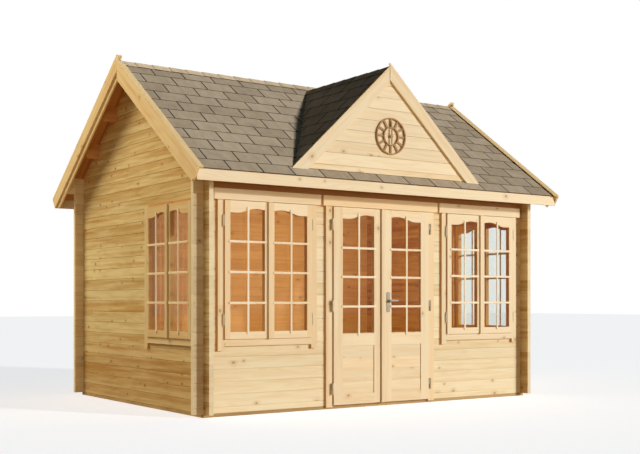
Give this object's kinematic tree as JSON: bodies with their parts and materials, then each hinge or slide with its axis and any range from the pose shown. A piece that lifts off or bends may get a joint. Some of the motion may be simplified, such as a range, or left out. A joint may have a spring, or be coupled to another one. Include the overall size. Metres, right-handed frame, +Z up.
{
  "type": "log cabin",
  "caption": "Small garden log cabin with interlocking corners, double glazed doors, arched windows and a shingled gable roof with a dormer clock.",
  "frame": {"origin": "on the ground, at the middle of the cabin's base", "axes": "+X along the front from left to right, +Y from the front to the rear, +Z up"},
  "size_m": [4.45, 3.5, 3.4924],
  "materials": {
    "log": "planed pine, unpainted",
    "trim": "planed pine boards, unpainted",
    "door_wood": "planed pine, unpainted",
    "roof_boards": "rough sawn pine boards",
    "covering": "mineral-faced roofing shingles",
    "glass": "clear",
    "metal": "satin",
    "dial": "matt"
  },
  "bodies": {
    "cabin": {"front_wall_left": "log", "front_wall_right": "log", "front_wall_top": "log", "rear_wall": "log", "left_wall": "log", "right_wall": "log", "left_gable": "log", "right_gable": "log", "ground_beams": "log", "ridge_beam": "log", "purlins": "log", "floor": "roof_boards", "roof_boards_front": "roof_boards", "roof_boards_rear": "roof_boards", "dormer_boards_left": "roof_boards", "dormer_boards_right": "roof_boards", "roof_covering_front": "covering", "roof_covering_rear": "covering", "ridge_cap": "covering", "dormer_covering_left": "covering", "dormer_covering_right": "covering", "dormer_ridge_cap": "covering", "barge_boards_left": "trim", "barge_boards_right": "trim", "fascia_front": "trim", "fascia_rear": "trim", "dormer_wall": "trim", "dormer_barge_boards": "trim", "door_frame": "trim", "door_casing": "trim", "front_left_window_frame": "trim", "front_left_window_sashes": "door_wood", "front_left_window_glass": "glass", "front_right_window_frame": "trim", "front_right_window_sashes": "door_wood", "front_right_window_glass": "glass", "left_side_window_frame": "trim", "left_side_window_sashes": "door_wood", "left_side_window_glass": "glass", "right_side_window_frame": "trim", "right_side_window_sashes": "door_wood", "right_side_window_glass": "glass", "frame_hinges_left": "metal", "frame_hinges_right": "metal", "clock_dial": "dial", "clock_hands": "dial"},
    "door_left": {"door_leaf_left": "door_wood", "door_glass_left": "glass", "door_hinges_left": "metal"},
    "door_right": {"door_leaf_right": "door_wood", "door_glass_right": "glass", "door_hinges_right": "metal", "handle_plates": "metal"},
    "lever": {"door_lever": "metal"}
  },
  "joints": [
    {"name": "left_door_swing", "type": "hinge", "parent": "cabin", "child": "door_left", "pos_m": [-0.616, -1.479, 1], "axis": [0, 0, -1], "range_deg": [0, 100]},
    {"name": "right_door_swing", "type": "hinge", "parent": "cabin", "child": "door_right", "pos_m": [0.616, -1.479, 1], "axis": [0, 0, 1], "range_deg": [0, 100]},
    {"name": "lever_turn", "type": "hinge", "parent": "door_right", "child": "lever", "pos_m": [0.066, -1.452, 1.052], "axis": [0, 1, 0], "range_deg": [0, 40], "stiffness_Nm_per_rad": 1.2, "springref_deg": -22.92}
  ]
}
